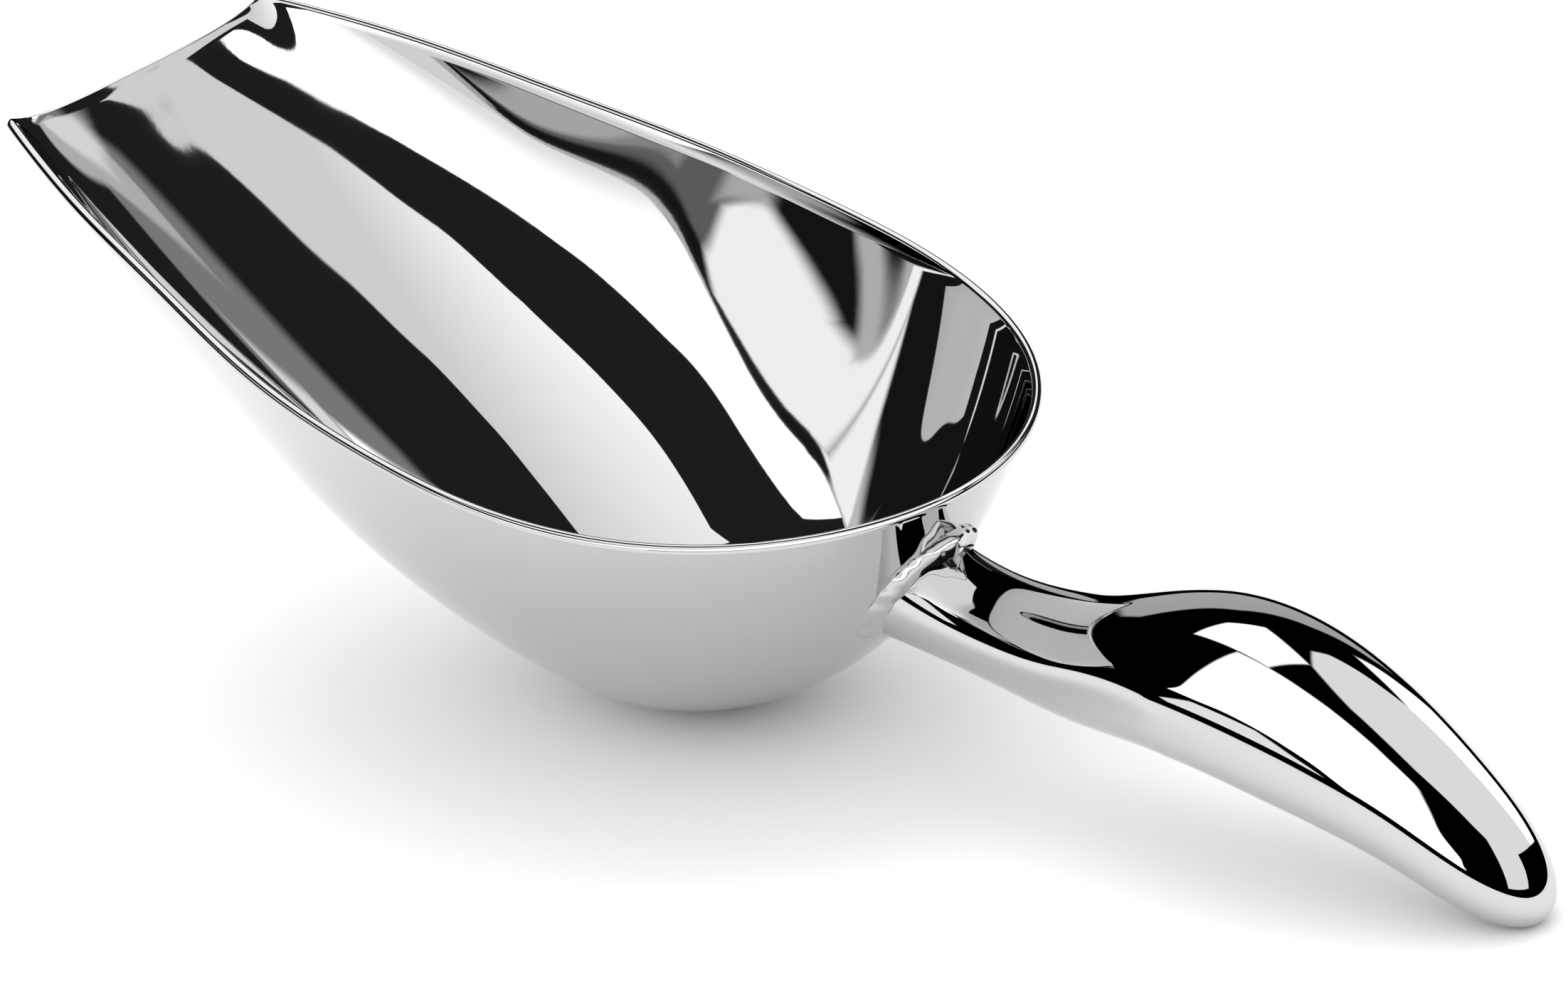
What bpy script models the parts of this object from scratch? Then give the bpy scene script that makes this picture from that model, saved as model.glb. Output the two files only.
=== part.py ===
"""Ice scoop: a drawn steel bowl with a rolled rim, and a hollow handle of two shells welded to its back.

Each piece is modelled in the bowl's own frame: Y runs back from the mouth, Z is up and X = 0 is the
plane of symmetry. The empty called scoop then leans it back until the bowl and the handle's end both
rest on the ground, and puts the origin at the bottom centre of the whole scoop.
"""

import math

import bmesh
import bpy
import numpy as np
from mathutils import Matrix, Vector

MM = 0.001

# Bowl: lengths from the mouth, and heights over the lowest point of its outside
BOWL_LENGTH = 160.0 * MM
BACK_START = 99.0 * MM  # where the sides start to turn round into the back
SHEET = 0.6 * MM
WIDTH_STATIONS = (0.0, 22.0 * MM, 45.0 * MM, 70.0 * MM, BACK_START)
HALF_WIDTHS = (25.6 * MM, 33.5 * MM, 39.4 * MM, 45.1 * MM, 47.0 * MM)
RIM_STATIONS = (0.0, 35.0 * MM, 70.0 * MM, 105.0 * MM, 135.0 * MM, BOWL_LENGTH)
RIM_HEIGHTS = (76.4 * MM, 68.1 * MM, 59.5 * MM, 52.7 * MM, 48.5 * MM, 46.8 * MM)
LIP_HEIGHT = 73.9 * MM
KEEL_POWER = 1.5  # how the keel rises from the deepest point to the lip
LIP_TURN_UP = 0.06  # share of the rise that comes late, close to the lip
BACK_PLAN_POWERS = (1.94, 2.19)  # the back's outline in plan, close to a half ellipse
LIP_DIP = 1.1 * MM  # the floor drops away a little faster just behind the lip
LIP_DIP_REACH = 7.8 * MM
FRONT_WALL_ANGLE = math.radians(71.6)  # arc of the cross-section, from keel to rim
SIDE_WALL_ANGLE = math.radians(45.4)
BACK_WALL_ANGLE = math.radians(62.5)
MOUTH_LENGTH = 94.0 * MM  # over which the mouth's flatter floor fades away
MOUTH_FLATNESS = 0.63  # how much flatter than an arc the floor is at the mouth
CORNER_RADIUS = 4.0 * MM
FOOT_DEPTH = 0.4 * MM  # how far the underside is flattened where it stands

# Rolled rim: the sheet's edge turned outwards and down
ROLL_RADIUS = 0.5 * MM  # to the middle of the sheet
ROLL_SWEEP = math.radians(200.0)

# Handle: its two shells share a centreline in the plane of symmetry
HANDLE_START = 148.0 * MM  # inside the bowl's back, where the centreline is measured from
HANDLE_END = 256.4 * MM
HANDLE_STATIONS = (0.0, 0.15, 0.32, 0.5, 0.68, 0.85, 1.0)
CENTRE_HEIGHTS = (29.0 * MM, 26.9 * MM, 27.1 * MM, 29.9 * MM, 26.8 * MM, 19.3 * MM, 9.2 * MM)
HALF_HEIGHTS = (7.5 * MM, 7.1 * MM, 8.7 * MM, 10.7 * MM, 10.3 * MM, 8.6 * MM, 9.7 * MM)
WIDTH_RATIOS = (1.05, 1.34, 1.24)  # width over height at the start, middle and end
HANDLE_SECTION_POWER = 2.15
END_ROUND_START = 0.73
END_ROUND_POWER = 2.2
HANDLE_WALL = 0.8 * MM
SEAM_HEIGHT = 0.8 * MM

# Weld round the handle's root
WELD_ON_BOWL = 3.4 * MM
WELD_ON_HANDLE = 3.0 * MM

GAP = 0.3 * MM  # between pieces that touch on the real object

STEEL = (0.80, 0.80, 0.80, 1.0)
WELD_STEEL = (0.66, 0.66, 0.65, 1.0)


def fair_curve(stations, values, level_end=False):
    """The natural cubic spline through the values; its slope is zero at the end if level_end is set."""
    x = np.array(stations)
    v = np.array(values)
    n = len(x)
    h = np.diff(x)
    slopes = np.diff(v) / h
    matrix = np.eye(n)
    right = np.zeros(n)
    for i in range(1, n - 1):
        matrix[i, i - 1 : i + 2] = (h[i - 1], 2 * (h[i - 1] + h[i]), h[i])
        right[i] = 6 * (slopes[i] - slopes[i - 1])
    if level_end:
        matrix[-1, -2:] = (h[-1], 2 * h[-1])
        right[-1] = -6 * slopes[-1]
    bends = np.linalg.solve(matrix, right)

    def at(where):
        where = np.asarray(where, float)
        i = np.clip(np.searchsorted(x, where) - 1, 0, n - 2)
        a = (x[i + 1] - where) / h[i]
        b = (where - x[i]) / h[i]
        curved = ((a**3 - a) * bends[i] + (b**3 - b) * bends[i + 1]) * h[i] ** 2 / 6
        return a * v[i] + b * v[i + 1] + curved

    return at


half_width = fair_curve(WIDTH_STATIONS, HALF_WIDTHS, level_end=True)
rim_height = fair_curve(RIM_STATIONS, RIM_HEIGHTS)
centre_height = fair_curve(HANDLE_STATIONS, CENTRE_HEIGHTS)
half_height = fair_curve(HANDLE_STATIONS, HALF_HEIGHTS)


def keel_height(y):
    left = np.clip(1 - y / BACK_START, 0, 1)
    behind_lip = np.clip(y / LIP_DIP_REACH, 0, None)
    dip = LIP_DIP * behind_lip * np.exp(1 - behind_lip)
    return LIP_HEIGHT * ((1 - LIP_TURN_UP) * left**KEEL_POWER + LIP_TURN_UP * left**3) - dip


def arc_shares(share, angle):
    """How far out and how far up a section is, as shares of its width and depth, at a share of its arc."""
    theta = share * angle
    return np.sin(theta) / np.sin(angle), (1 - np.cos(theta)) / (1 - np.cos(angle))


def front_point(y, share):
    """A point on the middle of the sheet ahead of BACK_START: share is 0 on the keel and 1 at the rim."""
    fade = np.clip(1 - y / MOUTH_LENGTH, 0, 1) ** 1.5
    angle = FRONT_WALL_ANGLE + (SIDE_WALL_ANGLE - FRONT_WALL_ANGLE) * (y / BACK_START) ** 2
    out, up = arc_shares(share, angle)
    up = up ** (1 + MOUTH_FLATNESS * fade)
    keel = keel_height(y) + SHEET / 2
    x = (half_width(y) - ROLL_RADIUS) * out
    return np.stack([x, y + 0 * x, keel + (rim_height(y) - keel) * up], -1)


def back_point(turn, share):
    """A point on the middle of the sheet of the back: turn is 0 at the side and a quarter turn at the rear."""
    out, up = arc_shares(share, SIDE_WALL_ANGLE + (BACK_WALL_ANGLE - SIDE_WALL_ANGLE) * np.sin(turn) ** 2)
    power_x, power_y = BACK_PLAN_POWERS
    across = (half_width(BACK_START) - ROLL_RADIUS) * np.cos(turn) ** (2 / power_x)
    along = (BOWL_LENGTH - ROLL_RADIUS - BACK_START) * np.sin(turn) ** (2 / power_y)
    keel = SHEET / 2
    z = keel + (rim_height(BACK_START + along) - keel) * up
    return np.stack([across * out, BACK_START + along * out, z], -1)


def bowl_grid(rows_front, rows_back, columns, roll_columns):
    """Half of the sheet's middle surface, X >= 0: rows from the mouth to the rear, columns from keel to rolled edge."""
    shares = 1 - (1 - np.linspace(0, 1, columns)) ** 1.15
    ahead = 1.5 * CORNER_RADIUS  # the first rows lie ahead of the mouth, until the corner is cut
    spread = np.linspace(0, 1, rows_front)
    lengths = (BACK_START + ahead) * (0.55 * spread + 0.45 * spread**1.6) - ahead
    turns = np.linspace(0, math.pi / 2, rows_back + 1)[1:]
    turns[-1] = math.pi / 2 - 1e-9
    rows = [front_point(y, shares) for y in lengths] + [back_point(turn, shares) for turn in turns]
    wall = np.array(rows)
    wall[-1, :, 0] = 0
    rim = wall[:, -1]
    along = np.gradient(rim, axis=0)
    along[-1] = (-1, 0, 0)
    along /= np.linalg.norm(along, axis=1)[:, None]
    rise = rim - wall[:, -2]
    rise -= (rise * along).sum(1)[:, None] * along
    rise /= np.linalg.norm(rise, axis=1)[:, None]
    outward = np.cross(along, rise)
    away = np.stack([rim[:, 0], np.maximum(rim[:, 1] - BACK_START, 0), 0 * rim[:, 0]], -1)
    outward *= np.sign((outward * away).sum(1))[:, None]
    outward[-1, 0] = 0
    rise[-1, 0] = 0
    sweep = np.linspace(0, ROLL_SWEEP, roll_columns + 1)[1:]
    turned = outward[:, None] * (1 - np.cos(sweep))[None, :, None] + rise[:, None] * np.sin(sweep)[None, :, None]
    return cut_corner(np.concatenate([wall, rim[:, None] + ROLL_RADIUS * turned], axis=1), rows_front)


def cut_corner(grid, rows_front):
    """Moves the front rows so that the sheet ends in a straight lip with a rounded corner."""
    reach = 2 * ROLL_RADIUS + half_width(CORNER_RADIUS) - CORNER_RADIUS
    for column in range(grid.shape[1]):
        line = grid[:rows_front, column]
        over = np.clip(np.abs(line[:, 0]) - reach, 0, CORNER_RADIUS)
        edge = CORNER_RADIUS - np.sqrt(CORNER_RADIUS**2 - over**2)
        inside = line[:, 1] - edge
        k = int(np.argmax(inside > 0))
        start = k - 1 + inside[k - 1] / (inside[k - 1] - inside[k])
        kept = np.linspace(start, rows_front - 1, rows_front)
        for axis in range(3):
            grid[:rows_front, column, axis] = np.interp(kept, np.arange(rows_front), line[:, axis].copy())
    return grid


def lean():
    """The angle at which the scoop stands on its bowl and on the handle's end, found by halving."""
    bowl = bowl_grid(60, 30, 30, 2).reshape(-1, 3)
    handle = handle_rings(60, 32).reshape(-1, 3)
    low, high = 0.0, math.radians(15.0)
    for _ in range(40):
        angle = (low + high) / 2
        foot = (bowl @ up_when_leaning(angle)).min() - SHEET / 2 + FOOT_DEPTH
        heel = (handle @ up_when_leaning(angle)).min()
        if heel > foot:
            low = angle
        else:
            high = angle
    return low, foot


def up_when_leaning(angle):
    """World up in the bowl's frame, once the scoop leans back by the angle."""
    return np.array([0.0, -math.sin(angle), math.cos(angle)])


def flatten_foot(grid, angle, ground):
    """Lifts what is lower than the ground, so that the underside has a flat place to stand on."""
    up = up_when_leaning(angle)
    below = np.minimum(grid @ up - (ground + SHEET / 2), 0)
    return grid - below[..., None] * up


def wall_back_y(x, z):
    """Y of the outside of the bowl's back at a given X and height."""
    x = np.abs(np.asarray(x, float))
    z = np.asarray(z, float)
    turn = np.full(x.shape, 1.3)
    power_x, power_y = BACK_PLAN_POWERS
    across = half_width(BACK_START) - ROLL_RADIUS
    length = BOWL_LENGTH - ROLL_RADIUS - BACK_START
    for _ in range(30):
        angle = SIDE_WALL_ANGLE + (BACK_WALL_ANGLE - SIDE_WALL_ANGLE) * np.sin(turn) ** 2
        top = rim_height(BACK_START + length * np.sin(turn) ** (2 / power_y))
        up = np.clip((z - SHEET / 2) / (top - SHEET / 2), 0, 1)
        theta = np.arccos(1 - up * (1 - np.cos(angle)))
        out = np.sin(theta) / np.sin(angle)
        turn = np.arccos(np.clip(x / (across * out), 0, 1) ** (power_x / 2))
    return BACK_START + length * out * np.sin(turn) ** (2 / power_y) + 0.55 * SHEET


def handle_ring(share, angles, inset=0.0):
    """The handle's outline round its centreline, at a share of its length."""
    y = HANDLE_START + (HANDLE_END - HANDLE_START) * share
    step = 1e-4
    ahead = min(share + step, 1.0)
    behind = max(share - step, 0.0)
    run = (HANDLE_END - HANDLE_START) * (ahead - behind)
    tangent = np.array([run, centre_height(ahead) - centre_height(behind)])
    tangent /= np.linalg.norm(tangent)
    rounding = max(0.0, (share - END_ROUND_START) / (1 - END_ROUND_START))
    fullness = math.sqrt(max(0.0, 1 - rounding**END_ROUND_POWER))
    high = float(half_height(share)) * fullness - inset
    wide = float(half_height(share)) * fullness * np.interp(share, (0, 0.5, 1), WIDTH_RATIOS) - inset
    power = 2 / HANDLE_SECTION_POWER
    side = np.sign(np.cos(angles)) * np.abs(np.cos(angles)) ** power * wide
    lift = np.sign(np.sin(angles)) * np.abs(np.sin(angles)) ** power * high
    return np.stack([side, y - tangent[1] * lift, float(centre_height(share)) + tangent[0] * lift], -1)


def handle_shares(rows):
    """Even steps up to the rounded end, then steps that get shorter towards its tip."""
    straight = np.linspace(0, END_ROUND_START, rows)
    turn = np.linspace(0, math.pi / 2, rows // 2 + 1)[1:]
    return np.concatenate([straight, END_ROUND_START + (1 - END_ROUND_START) * np.sin(turn)])


def handle_rings(rows, around):
    """The handle's outer surface as rings, the first of them fitted to the bowl's back."""
    angles = np.linspace(0, 2 * math.pi, around, endpoint=False) + math.pi / around
    rings = np.array([handle_ring(share, angles) for share in handle_shares(rows)])
    root = rings[0].copy()
    root[:, 1] = wall_back_y(root[:, 0], root[:, 2]) + GAP
    blend = 22.0 * MM
    for ring in rings:
        nearness = np.clip(1 - (ring[:, 1] - HANDLE_START) / blend, 0, 1) ** 2
        ring[:, 1] += nearness * (root[:, 1] - HANDLE_START)
    rings[0] = root
    return rings


def mesh_object(name, points, faces, material, parent):
    mesh = bpy.data.meshes.new(name)
    mesh.from_pydata([tuple(p) for p in points], [], faces)
    bm = bmesh.new()
    bm.from_mesh(mesh)
    bmesh.ops.remove_doubles(bm, verts=bm.verts, dist=1e-6)
    bmesh.ops.dissolve_degenerate(bm, edges=bm.edges, dist=1e-7)
    bmesh.ops.recalc_face_normals(bm, faces=bm.faces)
    bm.to_mesh(mesh)
    bm.free()
    mesh.shade_smooth()
    mesh.set_sharp_from_angle(angle=math.radians(40))
    mesh.materials.append(material)
    obj = bpy.data.objects.new(name, mesh)
    bpy.context.scene.collection.objects.link(obj)
    obj.parent = parent
    return obj


def grid_faces(rows, columns, closed=False):
    """Quads over a grid of points; closed joins the last column to the first."""
    last = columns if closed else columns - 1
    faces = []
    for i in range(rows - 1):
        for j in range(last):
            k = (j + 1) % columns
            faces.append((i * columns + j, i * columns + k, (i + 1) * columns + k, (i + 1) * columns + j))
    return faces


def steel(name, color, roughness):
    material = bpy.data.materials.new(name)
    material.use_nodes = True
    shader = material.node_tree.nodes["Principled BSDF"]
    shader.inputs["Base Color"].default_value = color
    shader.inputs["Metallic"].default_value = 1.0
    shader.inputs["Roughness"].default_value = roughness
    material.diffuse_color = color
    return material


def make_bowl(parent, angle, ground):
    grid = flatten_foot(bowl_grid(18, 13, 12, 5), angle, ground)
    rows, columns = grid.shape[:2]
    points = grid.reshape(-1, 3)
    faces = grid_faces(rows, columns)
    bowl = mesh_object("bowl", points, faces, steel("bowl_steel", STEEL, 0.06), parent)
    mirror = bowl.modifiers.new("mirror", "MIRROR")
    mirror.use_axis = (True, False, False)
    mirror.merge_threshold = 1e-5
    solidify = bowl.modifiers.new("sheet", "SOLIDIFY")
    solidify.thickness = SHEET
    solidify.offset = 0.0
    solidify.use_even_offset = True
    return bowl


def seam_prism(name, low, high):
    """A helper that fills the space between two heights over the handle's centreline."""
    shares = np.linspace(-0.1, 1.1, 49)
    y = HANDLE_START + (HANDLE_END - HANDLE_START) * shares
    z = centre_height(shares)
    width = 2 * max(HALF_HEIGHTS) * max(WIDTH_RATIOS)
    points = []
    for side in (-width, width):
        points += [(side, a, b + low) for a, b in zip(y, z)]
        points += [(side, a, b + high) for a, b in zip(y[::-1], z[::-1])]
    count = len(points) // 2
    faces = [tuple(range(count)), tuple(range(2 * count - 1, count - 1, -1))]
    for i in range(count):
        k = (i + 1) % count
        faces.append((i, count + i, count + k, k))
    helper = mesh_object(name, points, faces, None, None)
    helper.hide_render = True
    helper.display_type = "WIRE"
    return helper


def make_handle(parent):
    """Both shells and the seam weld, each the hollow handle's wall between its own two heights."""
    rings = handle_rings(20, 28)
    rows, around = rings.shape[:2]
    tip = rings[-1].mean(0)
    inner = []
    shares = handle_shares(20)
    angles = np.linspace(0, 2 * math.pi, around, endpoint=False) + math.pi / around
    for share, ring in zip(shares[:-3], rings[:-3]):
        hollow = handle_ring(share, angles, HANDLE_WALL)
        hollow[:, 1] += ring[:, 1] - handle_ring(share, angles)[:, 1]
        inner.append(hollow)
    inner[0][:, 1] = wall_back_y(inner[0][:, 0], inner[0][:, 2]) + GAP
    inner = np.array(inner)
    inner_tip = tip - np.array([0, HANDLE_WALL * 1.5, -HANDLE_WALL * 0.5])
    points = list(rings[:-1].reshape(-1, 3)) + [tip]
    faces = grid_faces(rows - 1, around, closed=True)
    end = (rows - 2) * around
    faces += [(end + j, end + (j + 1) % around, len(points) - 1) for j in range(around)]
    first = len(points)
    points += list(inner.reshape(-1, 3)) + [inner_tip]
    faces += [tuple(first + v for v in face[::-1]) for face in grid_faces(len(inner), around, closed=True)]
    end = first + (len(inner) - 1) * around
    faces += [(end + (j + 1) % around, end + j, len(points) - 1) for j in range(around)]
    faces += [((j + 1) % around, j, first + j, first + (j + 1) % around) for j in range(around)]
    tall = 3 * max(HALF_HEIGHTS)
    middle = SEAM_HEIGHT / 2
    bands = {
        "handle_upper_shell": (middle + GAP, tall, STEEL, 0.06),
        "handle_lower_shell": (-tall, -middle - GAP, STEEL, 0.06),
        "handle_seam_weld": (-middle, middle, WELD_STEEL, 0.12),
    }
    made = []
    for name, (low, high, color, roughness) in bands.items():
        piece = mesh_object(name, points, faces, steel(name + "_steel", color, roughness), parent)
        cut = piece.modifiers.new("band", "BOOLEAN")
        cut.operation = "INTERSECT"
        cut.solver = "EXACT"
        cut.object = seam_prism(name + "_band", low, high)
        cut.object.parent = parent
        made.append(piece)
    return made


def make_root_weld(parent):
    """The bead round the handle's root: a rounded fillet between the bowl's back and the handle."""
    around = 40
    angles = np.linspace(0, 2 * math.pi, around, endpoint=False)
    rings = handle_rings(20, around)
    root = rings[0]
    centre = root.mean(0)
    out = root - centre
    out[:, 1] = 0
    out /= np.linalg.norm(out, axis=1)[:, None]
    swell = 1 + 0.12 * np.sin(7 * angles + 0.6) + 0.10 * np.sin(11 * angles)
    swell += 0.35 * np.exp(-(((angles - math.pi / 2) / 0.35) ** 2))
    profile = []
    for share in (0.0, 0.25, 0.5, 0.75, 1.0):
        bulge = 0.16 * math.sin(math.pi * share)
        profile.append((1 - share + bulge, share + bulge))
    loops = []
    for on_bowl, on_handle in profile:
        away = GAP + WELD_ON_BOWL * on_bowl * swell
        point = root + out * away[:, None]
        point[:, 1] = wall_back_y(point[:, 0], point[:, 2]) + GAP + WELD_ON_HANDLE * on_handle * swell
        loops.append(point)
    corner = root + out * GAP
    corner[:, 1] = wall_back_y(corner[:, 0], corner[:, 2]) + GAP
    loops.append(corner)
    points = np.array(loops).transpose(1, 0, 2).reshape(-1, 3)
    count = len(loops)
    faces = []
    for i in range(around):
        k = (i + 1) % around
        for j in range(count):
            m = (j + 1) % count
            faces.append((i * count + j, i * count + m, k * count + m, k * count + j))
    return mesh_object("root_weld", points, faces, steel("root_weld_steel", WELD_STEEL, 0.25), parent)


def stand_on_origin(empty, pieces, angle):
    """Leans the scoop back and puts the bottom centre of its box at the origin."""
    empty.rotation_euler = (-angle, 0.0, 0.0)
    bpy.context.view_layer.update()
    graph = bpy.context.evaluated_depsgraph_get()
    corners = []
    for piece in pieces:
        shape = piece.evaluated_get(graph)
        corners += [shape.matrix_world @ vertex.co for vertex in shape.data.vertices]
    corners = np.array([tuple(corner) for corner in corners])
    low = corners.min(0)
    high = corners.max(0)
    empty.location = Vector((-(low[0] + high[0]) / 2, -(low[1] + high[1]) / 2, -low[2]))


def main():
    for obj in list(bpy.data.objects):
        bpy.data.objects.remove(obj)
    scoop = bpy.data.objects.new("scoop", None)
    bpy.context.scene.collection.objects.link(scoop)
    angle, ground = lean()
    pieces = [make_bowl(scoop, angle, ground)]
    pieces += make_handle(scoop)
    pieces.append(make_root_weld(scoop))
    stand_on_origin(scoop, pieces, angle)


main()
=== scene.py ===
"""Looks of the ice scoop: mirror-polished steel on a pale floor, seen from behind its right-hand side.

Shapes are worked out in the bowl's own frame (Y runs back from the mouth, Z is up, X = 0 is the plane of
symmetry) and are then leaned back, as the scoop stands on its bowl and on the end of its handle.
"""

import math

import bmesh
import bpy
import numpy as np
from mathutils import Matrix, Vector
from mathutils.kdtree import KDTree


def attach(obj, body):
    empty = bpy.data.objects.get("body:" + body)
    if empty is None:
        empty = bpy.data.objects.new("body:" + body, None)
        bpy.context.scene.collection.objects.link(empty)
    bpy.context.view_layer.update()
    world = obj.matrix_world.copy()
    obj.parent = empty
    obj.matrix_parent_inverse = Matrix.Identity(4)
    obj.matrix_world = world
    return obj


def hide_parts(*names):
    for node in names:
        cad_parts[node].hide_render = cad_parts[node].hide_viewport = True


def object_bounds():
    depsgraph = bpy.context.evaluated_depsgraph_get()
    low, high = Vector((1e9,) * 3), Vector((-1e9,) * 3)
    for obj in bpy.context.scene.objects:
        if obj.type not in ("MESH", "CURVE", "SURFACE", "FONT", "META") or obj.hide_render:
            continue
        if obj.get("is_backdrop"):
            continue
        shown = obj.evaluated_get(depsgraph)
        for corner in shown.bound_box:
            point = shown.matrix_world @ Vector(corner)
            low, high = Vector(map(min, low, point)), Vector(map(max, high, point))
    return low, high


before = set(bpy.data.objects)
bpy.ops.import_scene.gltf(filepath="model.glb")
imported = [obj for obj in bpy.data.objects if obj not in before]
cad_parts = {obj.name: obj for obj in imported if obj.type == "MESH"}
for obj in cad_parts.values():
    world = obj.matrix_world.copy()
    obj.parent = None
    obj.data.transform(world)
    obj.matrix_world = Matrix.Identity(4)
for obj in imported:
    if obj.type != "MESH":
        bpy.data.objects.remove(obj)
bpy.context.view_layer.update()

MM = 0.001

# ---------------------------------------------------------------- sizes of the scoop
BOWL_LENGTH = 160.0 * MM
BACK_START = 99.0 * MM  # where the sides start to turn round into the back
SHEET = 0.6 * MM
WIDTH_STATIONS = (0.0, 22.0 * MM, 45.0 * MM, 70.0 * MM, BACK_START)
HALF_WIDTHS = (25.6 * MM, 33.5 * MM, 39.4 * MM, 45.1 * MM, 47.0 * MM)
RIM_STATIONS = (0.0, 35.0 * MM, 70.0 * MM, 105.0 * MM, 135.0 * MM, BOWL_LENGTH)
RIM_HEIGHTS = (76.4 * MM, 68.1 * MM, 59.5 * MM, 52.7 * MM, 48.5 * MM, 46.8 * MM)
LIP_HEIGHT = 73.9 * MM
KEEL_EASE = 0.02  # rounds the keel where it meets its level back part
LIP_TURN_UP = 0.06  # share of the keel's rise that is kept for the lip
LIP_DIP = 1.1 * MM  # the floor drops away a little faster just behind the lip
LIP_DIP_REACH = 7.8 * MM
BACK_PLAN_POWERS = (1.94, 2.19)  # of the superellipse that the back follows in plan
FRONT_WALL_ANGLE = math.radians(71.6)  # arc of the cross-section, from keel to rim
SIDE_WALL_ANGLE = math.radians(45.4)
BACK_WALL_ANGLE = math.radians(62.5)
MOUTH_LENGTH = 94.0 * MM
MOUTH_FLATNESS = 0.63  # how much flatter than an arc the floor of the mouth is
MOUTH_FADE_POWER = 1.5  # how this flatness fades out over MOUTH_LENGTH
CORNER_RADIUS = 4.0 * MM
SMOOTHED_LENGTH = 7.0 * MM  # over which the sides are blended into the back
SMOOTHED_REACH = 2.2  # how far the blend reaches, in smoothed lengths
ROLL_RADIUS = 0.5 * MM
ROLL_SWEEP = math.radians(200.0)
BACK_OFFSET = 0.55 * SHEET  # from the middle of the sheet to just outside it

HANDLE_START = 148.0 * MM
HANDLE_END = 256.4 * MM
HANDLE_STATIONS = (0.0, 0.15, 0.32, 0.5, 0.68, 0.85, 1.0)
CENTRE_HEIGHTS = (29.0 * MM, 26.9 * MM, 27.1 * MM, 29.9 * MM, 26.8 * MM, 19.3 * MM, 9.2 * MM)
HALF_HEIGHTS = (7.5 * MM, 7.1 * MM, 8.7 * MM, 10.7 * MM, 10.3 * MM, 8.6 * MM, 9.7 * MM)
WIDTH_RATIO_STATIONS = (0.0, 0.5, 1.0)
WIDTH_RATIOS = (1.05, 1.34, 1.24)  # of the handle's width to its height
SECTION_FULLNESS = 0.049  # how much squarer than an ellipse the handle's section is
END_ROUND_START = 0.73
END_ROUND_POWER = 2.2
HANDLE_WALL = 0.8 * MM
HANDLE_SIDE_REACH = 9.0 * MM  # from the centreline to the seam
SEAM_HALF = 0.4 * MM
SEAM_SLIVER = 0.0002  # angle left free between seam and shells
ROOT_BLEND = 22.0 * MM  # over which the handle's rings turn to follow the bowl's back
INNER_END_ROWS = 6  # the hollow stops this many rows before the handle's end

LEAN = math.radians(2.685)
BOWL_FRAME_ORIGIN = Vector((0.0, -130.17 * MM, 4.296 * MM))
STANDING = Matrix.Translation(BOWL_FRAME_ORIGIN) @ Matrix.Rotation(-LEAN, 4, "X")

WELD_WAVES = (7, 11, 16, 23)  # swellings in one turn round the handle
WELD_WAVE_STRENGTH = (0.6, 1.0)  # from the weakest to the strongest
WELD_SEED = 5
WELD_SINK = 0.12 * MM
WELD_LUMP_ANGLE = -0.12  # of the lump's middle from the handle's top
WELD_LUMP_WIDTH = 0.3
# each leg of the fillet: its mean, how much it swells, and how much the lump adds
WELD_LEG_BOWL = (2.3 * MM, 0.3 * MM, 1.1 * MM)
WELD_LEG_HANDLE = (2.0 * MM, 0.25 * MM, 1.3 * MM)
# bulge of the fillet: all round, and what its top side, its swellings and the lump add
WELD_BULGE = (0.05, 0.16, 0.05, 0.12)
WELD_ROOT_DEPTHS = (0.4 * MM, 0.15 * MM)  # of its hidden edge, inside the handle and inside the bowl

# ---------------------------------------------------------------- fineness of the meshes
FRONT_ROWS = 96
BACK_ROWS = 60
WALL_COLUMNS = 38
ROLL_COLUMNS = 9
LIP_ROWS = 5
RIM_CROWDING = 1.1  # columns crowd towards the rim
LIP_CROWDING = 0.3  # rows crowd towards the lip
ROWS_PAST_LIP = 1.6  # how far the rows run past the lip before it is cut, in corner radii
HANDLE_ROWS = 96
SHELL_STEPS = 56
SEAM_STEPS = 4
HANDLE_NORMAL_STEPS = 192
HANDLE_NORMAL_REACH = 0.35 * MM
HANDLE_NORMAL_NEIGHBOURS = 4
HANDLE_NORMAL_FACING = 0.8  # cosine; faces that point further away are the cut edges
WELD_STEPS = 420
WELD_PROFILE_STEPS = 16
BACK_TURN_GUESS = 1.3  # where the search for a place on the bowl's back starts, in radians
BACK_TURN_STEPS = 30
SLOPE_STEP = 1e-4  # share of the handle's length over which its slope is taken
SHARP_EDGE = math.radians(50)
SHARP_WELD_EDGE = math.radians(60)


# ---------------------------------------------------------------- curves
def fair_curve(stations, values, level_end=False):
    """The natural cubic spline through the values; its slope is zero at the end if level_end is set."""
    x = np.array(stations)
    v = np.array(values)
    n = len(x)
    h = np.diff(x)
    slopes = np.diff(v) / h
    matrix = np.eye(n)
    right = np.zeros(n)
    for i in range(1, n - 1):
        matrix[i, i - 1 : i + 2] = (h[i - 1], 2 * (h[i - 1] + h[i]), h[i])
        right[i] = 6 * (slopes[i] - slopes[i - 1])
    if level_end:
        matrix[-1, -2:] = (h[-1], 2 * h[-1])
        right[-1] = -6 * slopes[-1]
    bends = np.linalg.solve(matrix, right)

    def at(where):
        where = np.asarray(where, float)
        i = np.clip(np.searchsorted(x, where) - 1, 0, n - 2)
        a = (x[i + 1] - where) / h[i]
        b = (where - x[i]) / h[i]
        curved = ((a**3 - a) * bends[i] + (b**3 - b) * bends[i + 1]) * h[i] ** 2 / 6
        return a * v[i] + b * v[i + 1] + curved

    return at


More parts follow.
